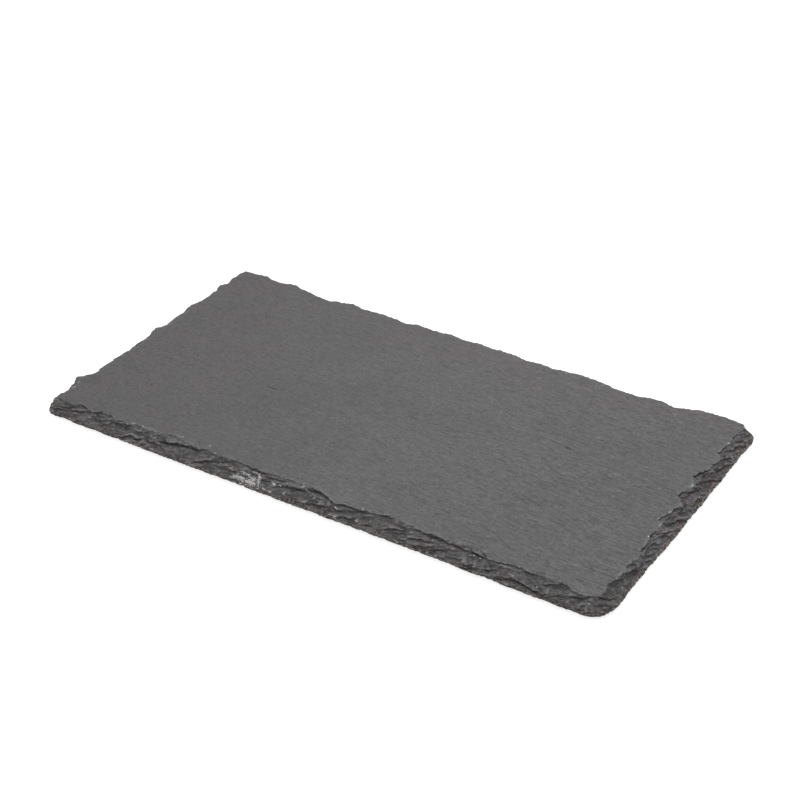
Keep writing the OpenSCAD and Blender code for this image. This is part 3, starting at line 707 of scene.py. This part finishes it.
def shapeSlab(block):
    mesh = block.data
    co = np.empty(len(mesh.vertices) * 3)
    mesh.vertices.foreach_get("co", co)
    x, y, z = co.reshape(-1, 3).T / mm
    thick = slab["top"] - slab["bottom"]
    rowCount = slab["rimRows"] + slab["flankRows"]
    row = np.rint((slab["top"] - z) / thick * rowCount).astype(int)
    table = OutlineTable()
    column, onRim = columnsOf(x, y, table)
    edge = dressEdge(table)
    outlineIn = columnNicks(table, slab["outlineNicks"])
    for side, middle, reach, depth in outlineHollows:
        outlineIn += depth * hump(table.along(side) - middle, reach)
    arrisX = table.x - table.outX * edge.edgeIn
    arrisY = table.y - table.outY * edge.edgeIn
    arrisTop = slab["top"] - faceRelief(arrisX, arrisY) - peelDepth(table, table.u, 0 * table.u)
    inward, height, deep, dark, share = edge.rows(arrisTop, outlineIn)
    print("edge chipped:", table.n, "columns")

    # serving face: the grid shrinks to its frame, and the rim rows reach from it to the edge
    faceX = x * (1 - slab["gridIn"] / slab["length"] * 2)
    faceY = y * (1 - slab["gridIn"] / slab["width"] * 2)
    inRim = onRim & (row > 0) & (row <= slab["rimRows"])
    rimShare = 1 - (1 - np.clip(row / slab["rimRows"], 0, 1)) ** slab["rimCrowding"]
    newX = np.where(inRim, faceX * (1 - rimShare) + arrisX[column] * rimShare, faceX)
    newY = np.where(inRim, faceY * (1 - rimShare) + arrisY[column] * rimShare, faceY)
    farIn = np.hypot(newX - arrisX[column], newY - arrisY[column])
    newZ = slab["top"] - faceRelief(newX, newY)
    newZ -= np.where(inRim, peelDepth(table, table.u[column], farIn), 0)

    # flank rows, and the underside
    inFlank = onRim & (row > slab["rimRows"])
    flankRow = np.clip(row - slab["rimRows"], 0, slab["flankRows"])
    flankIn = inward[column, flankRow]
    newX = np.where(inFlank, table.x[column] - table.outX[column] * flankIn, newX)
    newY = np.where(inFlank, table.y[column] - table.outY[column] * flankIn, newY)
    newZ = np.where(inFlank, height[column, flankRow], newZ)
    under = (row == rowCount) & ~onRim
    places = np.where(under, undersidePlaces(x, y), (newX, newY, newZ))
    mesh.vertices.foreach_set("co", (places.T * mm).ravel())
    mesh.update()

    # what the material reads at each point
    marks = {
        "flank": np.where(inFlank, 1.0, 0.0) * np.clip(flankRow / 1.5, 0, 1),
        "hollow": np.where(inFlank, deep[column, flankRow], 0),
        # painted shadow along the risers' feet and under the wedges
        "crackShadow": np.where(inFlank, dark[column, flankRow], 0),
        "up": np.where(inFlank, (newZ - slab["bottom"]) / thick, np.where(under, 0, 1)),
        # painted highlight along the top edge
        "rim": np.where(inRim, np.exp(-farIn / 0.8), 0) + np.where(inFlank & (flankRow == 1), 0.6, 0),
    }
    for (kind, side), spots in edgePaint.items():
        edgeAt = edge.edgeShare(side)[column]
        above = edgeAt + farIn / (thick * slab["rimStretch"])
        up = np.where(inFlank, share[column, flankRow] * edgeAt, above)
        along = table.along(side)[column]
        painted = marks.setdefault(kind, np.zeros(len(x)))
        for middle, middleUp, reach, halfUp, strength in spots:
            far = ((along - middle) / reach) ** 2 + ((up - middleUp) / halfUp) ** 2
            spot = np.where(inFlank | inRim, strength * np.exp(-far), 0)
            np.maximum(painted, spot, out=painted)
    for name, values in marks.items():
        layer = mesh.attributes.new(name, "FLOAT", "POINT")
        layer.data.foreach_set("value", values.astype(np.float32))


board = blockOutSlab()
print("slab blocked out:", len(board.data.vertices), "points")
shapeSlab(board)
bpy.ops.object.shade_smooth_by_angle(angle=math.radians(38))
print("slab shaped:", sum(len(p.vertices) - 2 for p in board.data.polygons), "triangles")

# what the slate looks like, with painted highlights for the top edge, the lips, the sheen and the
# glints, and a painted shadow for the cracks and hollows
slateLook = {
    "face": (0.1425, 0.1425, 0.143), "faceDark": (0.133, 0.133, 0.133),
    "plum": (0.144, 0.136, 0.139), "nick": (0.045, 0.045, 0.045), "rim": (0.32, 0.32, 0.325),
    "flank": (0.154, 0.147, 0.149), "flankDark": (0.084, 0.08, 0.081), "lip": (0.28, 0.273, 0.275),
    "crackShadow": (0.02, 0.019, 0.019), "darkSpots": (0.022, 0.024, 0.019), "rust": (0.216, 0.172, 0.162),
    "scuff": (0.72, 0.72, 0.71), "olive": (0.165, 0.168, 0.145), "paintedHighlight": (0.26, 0.265, 0.265),
    "glintWhite": (0.62, 0.62, 0.62),
    # these tint what is under them
    "warm": (1.07, 0.98, 0.94), "greener": (0.95, 1.02, 0.99), "redder": (1.05, 0.97, 1.01),
    "browner": (1.02, 1, 0.94), "bluer": (0.98, 1, 1.06),
    "roughness": 0.82, "specular": 0.3,
}
# its noises, with their scale in features per metre along x, y and z
slateNoises = {
    "clouds": {"scale": (20, 26, 26), "detail": 4},
    "plum": {"scale": (40, 55, 55), "detail": 1, "shift": (3, 1, 0)},
    "mottle": {"scale": (300, 360, 360), "rough": 0.6, "shift": (5, 3, 0)},
    "grain": {"scale": (160, 1050, 1050), "turn": (0, 0, -0.055), "detail": 2, "rough": 0.6,
              "distortion": 0.9},
    "sand": {"scale": (950, 950, 950), "detail": 2, "rough": 0.7},
    "nicks": {"scale": (260, 900, 900), "turn": (0, 0, -0.1), "detail": 1, "shift": (7, 2, 0)},
    "glintStreaks": {"scale": (260, 900, 900), "turn": (0, 0, -0.055), "detail": 1, "shift": (1, 5, 0)},
    "patches": {"scale": (150, 260, 420), "detail": 4, "rough": 0.65},
    "broken": {"scale": (560, 850, 850), "detail": 4, "rough": 0.75},
    "crumbs": {"scale": (420, 420, 900), "rough": 0.7, "shift": (2, 8, 1)},
    "blushes": {"scale": (800, 800, 1000), "detail": 2, "rough": 0.6, "shift": (5, 7, 4)},
    "grit": {"scale": (1300, 1500, 1700), "detail": 1, "rough": 0.6, "shift": (4, 2, 6)},
    "beds": {"scale": (220, 220, 1500), "turn": (-0.468, -0.322, 0), "rough": 0.65,
             "shift": (6, 1, 3), "distortion": 0.5},     # they dip to the front right
    "glint": {"scale": (420, 420, 700), "detail": 1, "shift": (9, 3, 2)},
    "hues": {"scale": (170, 170, 260), "detail": 2, "rough": 0.6, "shift": (8, 2, 5)},
    "casts": {"scale": (150, 150, 230), "detail": 2, "rough": 0.6, "shift": (1, 6, 3)},
    "specks": {"scale": (700, 700, 800), "detail": 1, "shift": (2, 4, 9)},
}


class NodeBuilder:
    def __init__(self, name):
        self.material = bpy.data.materials.new(name)
        self.material.use_nodes = True
        self.tree = self.material.node_tree
        self.place = self.add("TexCoord", {})["Object"]
        self.x, self.y, self.z = self.add("SeparateXYZ", {0: self.place})

    def add(self, kind, inputs, **settings):
        return addNode(self.tree, kind, inputs, **settings)

    def shaded(self, inputs):
        for key, value in inputs.items():
            feed(self.tree, self.tree.nodes["Principled BSDF"].inputs[key], value)
        return self.material

    def mapped(self, location, rotation, scale):
        return self.add("Mapping", {"Vector": self.place, "Location": location,
                                    "Rotation": rotation, "Scale": scale},
                        vector_type="TEXTURE")[0]

    def noise(self, scale, turn=(0, 0, 0), detail=3, rough=0.5, shift=(0, 0, 0), distortion=0):
        place = self.mapped([value / 50 for value in shift], turn, [1 / value for value in scale])
        return self.add("TexNoise", {"Vector": place, "Scale": 1, "Detail": detail,
                                     "Roughness": rough, "Distortion": distortion})["Fac"]

    def attribute(self, name):
        return self.add("Attribute", {}, attribute_name=name)["Fac"]

    def spots(self, marks):  # 1 in the middle of a mark, 0 from its rim on
        total = 0
        for x, y, halfLength, halfWidth, turn, strength in marks:
            place = self.mapped((x * mm, y * mm, 0), (0, 0, math.radians(turn)),
                                (halfLength * mm, halfWidth * mm, 1))
            far = self.add("VectorMath", {0: place}, operation="LENGTH")["Value"]
            total = self.math("MAXIMUM", total, self.ramp(far, 0.2, 1, strength, 0))
        return total

    def speckled(self, name, grain, most, stray=0.45):  # a painted mark, with ragged borders
        mark = self.attribute(name)
        share = self.math("ADD", mark, self.level(grain, 0.3, 0.7, -stray, stray))
        return self.times(self.ramp(share, 0.35, 0.75, 0, most), self.ramp(mark, 0.05, 0.3))

    def ramp(self, value, low, high, toLow=0, toHigh=1, kind="SMOOTHSTEP"):
        return self.add("MapRange", {"Value": value, "From Min": low, "From Max": high,
                                     "To Min": toLow, "To Max": toHigh},
                        interpolation_type=kind)[0]

    def level(self, value, low, high, toLow, toHigh):
        return self.ramp(value, low, high, toLow, toHigh, "LINEAR")

    def math(self, operation, first, second, clamp=False):
        return self.add("Math", {0: first, 1: second}, operation=operation, use_clamp=clamp)[0]

    def times(self, first, second, clamp=False):
        return self.math("MULTIPLY", first, second, clamp)

    def mix(self, share, first, second, blend="MIX"):
        return self.add("Mix", {0: share, 6: first, 7: second}, data_type="RGBA",
                        blend_type=blend)[2]

    def tinted(self, color, by):
        return self.mix(1, color, by, "MULTIPLY")

    def bump(self, height, strength, distance, **onto):
        return self.add("Bump", {"Height": height, "Strength": strength, "Distance": distance,
                                 **onto})["Normal"]


def slateFace(b, look, noise):  # two greys in clouds, grain along the board, sand-fine speckle, painted shade towards the left and painted glints
    east = b.ramp(b.x, -0.12, 0.12, 0.3, 0.95)          # the grain shows more to the right
    west = b.ramp(b.x, -0.04, -0.12, 0.15, 0.9)
    north = b.ramp(b.y, 0.02, 0.07, 0, 0.7)
    face = b.mix(b.ramp(noise["clouds"], 0.38, 0.62), look["faceDark"], look["face"])
    plum = b.times(b.ramp(noise["plum"], 0.38, 0.5), b.math("MAXIMUM", west, north))
    face = b.mix(plum, face, look["plum"])
    grain = b.times(b.level(noise["grain"], 0.2, 0.8, -0.42, 0.42), east)
    sand = b.times(b.level(noise["sand"], 0.2, 0.8, -0.32, 0.32), b.ramp(b.x, -0.12, 0.1, 0.8, 1.03))
    mottle = b.level(noise["mottle"], 0.3, 0.7, -0.05, 0.05)
    # painted shade: the serving face darker towards the left, where less light falls
    leftShade = b.ramp(b.x, -0.19, 0.04, 0.84, 0.985)
    face = b.tinted(face, b.math("ADD", b.math("ADD", grain, sand), b.math("ADD", leftShade, mottle)))
    face = b.mix(b.ramp(noise["nicks"], 0.69, 0.74, 0, 0.6), face, look["nick"])
    # painted glints along the grain, more of them to the right
    face = b.mix(b.times(b.ramp(noise["glintStreaks"], 0.68, 0.8, 0, 0.8), east), face, look["paintedHighlight"])
    patchy = b.times(b.ramp(noise["sand"], 0.35, 0.55, 0.4, 1), b.ramp(b.z, 0.0075, 0.0085))
    face = b.mix(b.times(b.spots(faceNicks), patchy), face, look["nick"])
    # painted glints
    return b.mix(b.times(b.spots(faceGlints), patchy), face, look["paintedHighlight"])


def slateFlank(b, look, noise):  # broken stone, with painted shade in its hollows and painted highlights on its lips
    up = b.attribute("up")
    hollow = b.attribute("hollow")
    flank = b.mix(b.ramp(noise["patches"], 0.38, 0.6), look["flankDark"], look["flank"])
    # painted highlights on facets that catch the light like the serving face
    flank = b.mix(b.times(b.attribute("pale"), 0.9), flank, look["face"])
    # painted highlights on the lips, where the stone stands proud of its neighbours
    flank = b.mix(b.ramp(hollow, -0.04, -0.3, 0, 0.7), flank, look["lip"])
    # the flank takes the serving face's tone in patches towards its top
    paleTowardTop = b.times(b.ramp(up, 0.66, 0.98, 0, 0.6), b.ramp(noise["patches"], 0.42, 0.58, 0.3, 1))
    flank = b.mix(paleTowardTop, flank, look["face"])
    # painted shade in the hollows, broken up by a noise
    shadeBreakup = b.ramp(noise["crumbs"], 0.38, 0.58, 0.4, 1.2)
    shade = b.times(b.ramp(hollow, 0.06, 0.45, 0, 0.8), shadeBreakup, clamp=True)
    flank = b.mix(shade, flank, look["crackShadow"])
    for name, swing in (("broken", 0.5), ("grit", 0.2), ("beds", 0.45)):
        flank = b.tinted(flank, b.level(noise[name], 0.3, 0.7, 1 - swing, 1 + swing))
    # the right side shows more colour than the others
    bySide = b.math("MINIMUM", b.ramp(b.x, 0.148, 0.155, 0.38, 1),
                    b.ramp(b.y, -0.082, -0.072, 0.4, 1))
    for name, low, first, second in (("hues", 0.4, "greener", "redder"),
                                     ("casts", 0.42, "browner", "bluer")):
        tint = b.mix(b.ramp(noise[name], low, 0.6), look[first], look[second])
        flank = b.mix(bySide, flank, b.tinted(flank, tint))
    # painted glints, white specks of highlight on the broken stone
    flank = b.mix(b.ramp(noise["glint"], 0.72, 0.8, 0, 0.6), flank, look["glintWhite"])
    # painted shadow along the risers' feet and under the wedges, with ragged borders
    ragged = b.ramp(noise["broken"], 0.38, 0.58, 0.25, 1.4)
    flank = b.mix(b.times(b.attribute("crackShadow"), ragged, clamp=True), flank, look["crackShadow"])
    # crumbly and blushing along the foot
    foot = b.ramp(up, 0.34, 0.06)
    flank = b.mix(foot, flank, b.tinted(flank, b.ramp(noise["crumbs"], 0.4, 0.6, 0.35, 1.5)))
    footBySide = b.times(foot, bySide)
    flank = b.mix(footBySide, flank, b.tinted(flank, look["warm"]))
    blush = b.mix(b.ramp(noise["glint"], 0.48, 0.56), look["rust"], look["olive"])
    blush = b.tinted(blush, b.ramp(noise["specks"], 0.38, 0.62, 0.45, 1.6))
    flank = b.mix(b.times(footBySide, b.ramp(noise["blushes"], 0.44, 0.54)), flank, blush)
    return b.mix(foot, flank, b.tinted(flank, b.ramp(noise["specks"], 0.38, 0.62, 0.7, 1.3)))


def slateMaterial(look):
    b = NodeBuilder("slate")
    noise = {name: b.noise(**settings) for name, settings in slateNoises.items()}
    flankShare = b.attribute("flank")
    color = b.mix(flankShare, slateFace(b, look, noise), slateFlank(b, look, noise))
    # painted highlight where the top edge catches the light
    rim = b.times(b.attribute("rim"), b.ramp(noise["crumbs"], 0.46, 0.64))
    color = b.mix(b.times(rim, 0.78), color, look["rim"])
    # dark spots on the dressed edge, many of them just under the top edge
    color = b.mix(b.speckled("darkSpots", noise["broken"], 0.8), color, look["darkSpots"])
    # painted sheen
    paintedHighlight = b.times(b.attribute("paintedHighlight"), b.ramp(noise["broken"], 0.3, 0.6, 0, 0.7))
    color = b.mix(paintedHighlight, color, look["paintedHighlight"])
    rust = b.tinted(look["rust"], b.ramp(noise["specks"], 0.38, 0.62, 0.45, 1.6))
    color = b.mix(b.speckled("rust", noise["blushes"], 0.7, 0.8), color, rust)
    color = b.mix(b.speckled("olive", noise["broken"], 0.7, 0.3), color, look["olive"])
    color = b.mix(b.speckled("scuff", noise["grit"], 0.85, 0.4), color, look["scuff"])
    # relief too fine for the mesh
    grainy = b.math("ADD", b.times(noise["grain"], 0.6), b.times(noise["sand"], 0.4))
    rough = b.times(b.math("ADD", noise["broken"], noise["beds"]), flankShare)
    normal = b.bump(rough, 0.8, 0.001, Normal=b.bump(grainy, 0.5, 0.0003))
    return b.shaded({"Base Color": color, "Roughness": look["roughness"],
                     "Specular IOR Level": look["specular"], "Normal": normal})


# the feet, and the tape that holds them
rubberLook = {"dark": (0.012, 0.012, 0.013), "dusty": (0.03, 0.029, 0.028), "roughness": (0.62, 0.8)}
tapeLook = {"dark": (0.5, 0.48, 0.42), "pale": (0.68, 0.66, 0.6), "roughness": 0.85}


def rubberMaterial(look):
    b = NodeBuilder("footRubber")
    dust = b.noise((180, 180, 180), detail=4, rough=0.6)
    return b.shaded({
        "Base Color": b.mix(b.ramp(dust, 0.4, 0.7), look["dark"], look["dusty"]),
        "Roughness": b.ramp(dust, 0.3, 0.7, *look["roughness"]),
        "Normal": b.bump(b.noise((2200, 2200, 2200), detail=2), 0.3, 0.00008)})


def tapeMaterial(look):
    b = NodeBuilder("tapeFoam")
    cells = b.noise((1600, 1600, 1600))
    return b.shaded({
        "Base Color": b.mix(b.ramp(cells, 0.35, 0.65), look["dark"], look["pale"]),
        "Roughness": look["roughness"],
        "Normal": b.bump(cells, 0.4, 0.00008)})


def dress(piece, material):
    piece.data.materials.clear()
    piece.data.materials.append(material)


dress(board, slateMaterial(slateLook))
plainMaterials = {"foot": rubberMaterial(rubberLook), "tape": tapeMaterial(tapeLook)}
for name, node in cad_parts.items():
    kind = name.split("_")[0]
    if kind in plainMaterials:
        dress(node, plainMaterials[kind])
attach(board, "root")
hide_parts("slate_slab")
print("materials on")
